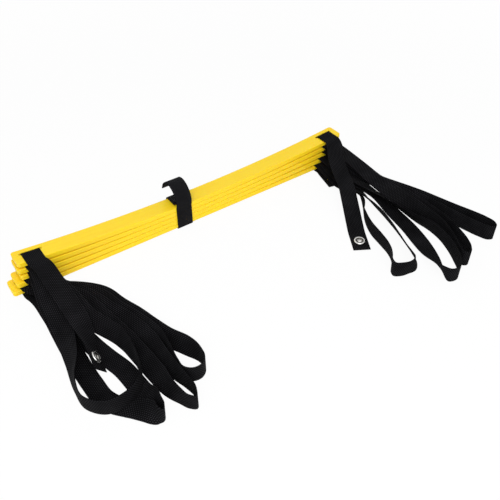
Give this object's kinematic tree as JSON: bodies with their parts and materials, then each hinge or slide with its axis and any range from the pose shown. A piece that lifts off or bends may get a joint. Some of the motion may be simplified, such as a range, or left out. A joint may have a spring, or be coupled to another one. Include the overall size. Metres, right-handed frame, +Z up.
{
  "type": "agility ladder",
  "caption": "Folded training ladder: flat plastic rungs stacked on two webbing rails that hang out in loops, held by a strap round the middle.",
  "frame": {"origin": "on the floor plane under the middle of the tie strap: the middle of the strap's flat underside", "axes": "+X along the rungs towards the end whose rails fall in one open fan, +Y away from the loops, +Z up"},
  "size_m": [0.4882, 0.2794, 0.0556],
  "materials": {
    "rung": "satin yellow plastic",
    "webbing": "woven black webbing",
    "snap": "plated metal",
    "tie": "woven black strap"
  },
  "bodies": {
    "rails": {"left_loop_1": "webbing", "left_loop_2": "webbing", "left_loop_3": "webbing", "left_loop_4": "webbing", "right_loop_1": "webbing", "right_loop_2": "webbing", "right_loop_3": "webbing", "right_loop_4": "webbing", "left_top_turn": "webbing", "right_top_turn": "webbing", "left_bottom_end": "webbing", "left_bottom_end_cap": "snap", "left_bottom_end_stud": "snap", "right_bottom_end": "webbing", "right_bottom_end_cap": "snap", "right_bottom_end_stud": "snap"},
    "rung_1": {"rung_1": "rung"},
    "rung_2": {"rung_2": "rung"},
    "rung_3": {"rung_3": "rung"},
    "rung_4": {"rung_4": "rung"},
    "rung_5": {"rung_5": "rung"},
    "tie": {"tie_band": "tie", "tie_loop_pad": "tie"},
    "tie_tail": {"tie_tail": "tie", "tie_hook_pad": "tie"},
    "left_top_end": {"left_top_end": "webbing", "left_top_end_cap": "snap", "left_top_end_socket": "snap"},
    "right_top_end": {"right_top_end": "webbing", "right_top_end_cap": "snap", "right_top_end_socket": "snap"}
  },
  "joints": [
    {"name": "rung_1_slide", "type": "slide", "parent": "rails", "child": "rung_1", "axis": [1, 0, 0], "range_m": [-0.002, 0.002]},
    {"name": "rung_2_slide", "type": "slide", "parent": "rails", "child": "rung_2", "axis": [1, 0, 0], "range_m": [-0.002, 0.002]},
    {"name": "rung_3_slide", "type": "slide", "parent": "rails", "child": "rung_3", "axis": [1, 0, 0], "range_m": [-0.002, 0.002]},
    {"name": "rung_4_slide", "type": "slide", "parent": "rails", "child": "rung_4", "axis": [1, 0, 0], "range_m": [-0.002, 0.002]},
    {"name": "rung_5_slide", "type": "slide", "parent": "rails", "child": "rung_5", "axis": [1, 0, 0], "range_m": [-0.002, 0.002]},
    {"name": "tie_slide", "type": "slide", "parent": "rails", "child": "tie", "axis": [1, 0, 0], "range_m": [-0.02, 0.02]},
    {"name": "tie_tail_hinge", "type": "hinge", "parent": "tie", "child": "tie_tail", "pos_m": [0, -0.0125, 0.02908], "axis": [1, 0, 0], "range_deg": [0, 90]},
    {"name": "left_top_end_hinge", "type": "hinge", "parent": "rails", "child": "left_top_end", "pos_m": [-0.1755, -0.01115, 0.04061], "axis": [-0.9958, 0, 0.0912], "range_deg": [0, 60]},
    {"name": "right_top_end_hinge", "type": "hinge", "parent": "rails", "child": "right_top_end", "pos_m": [0.2205, -0.01115, 0.04165], "axis": [-0.9953, 0, -0.0963], "range_deg": [0, 60]}
  ]
}
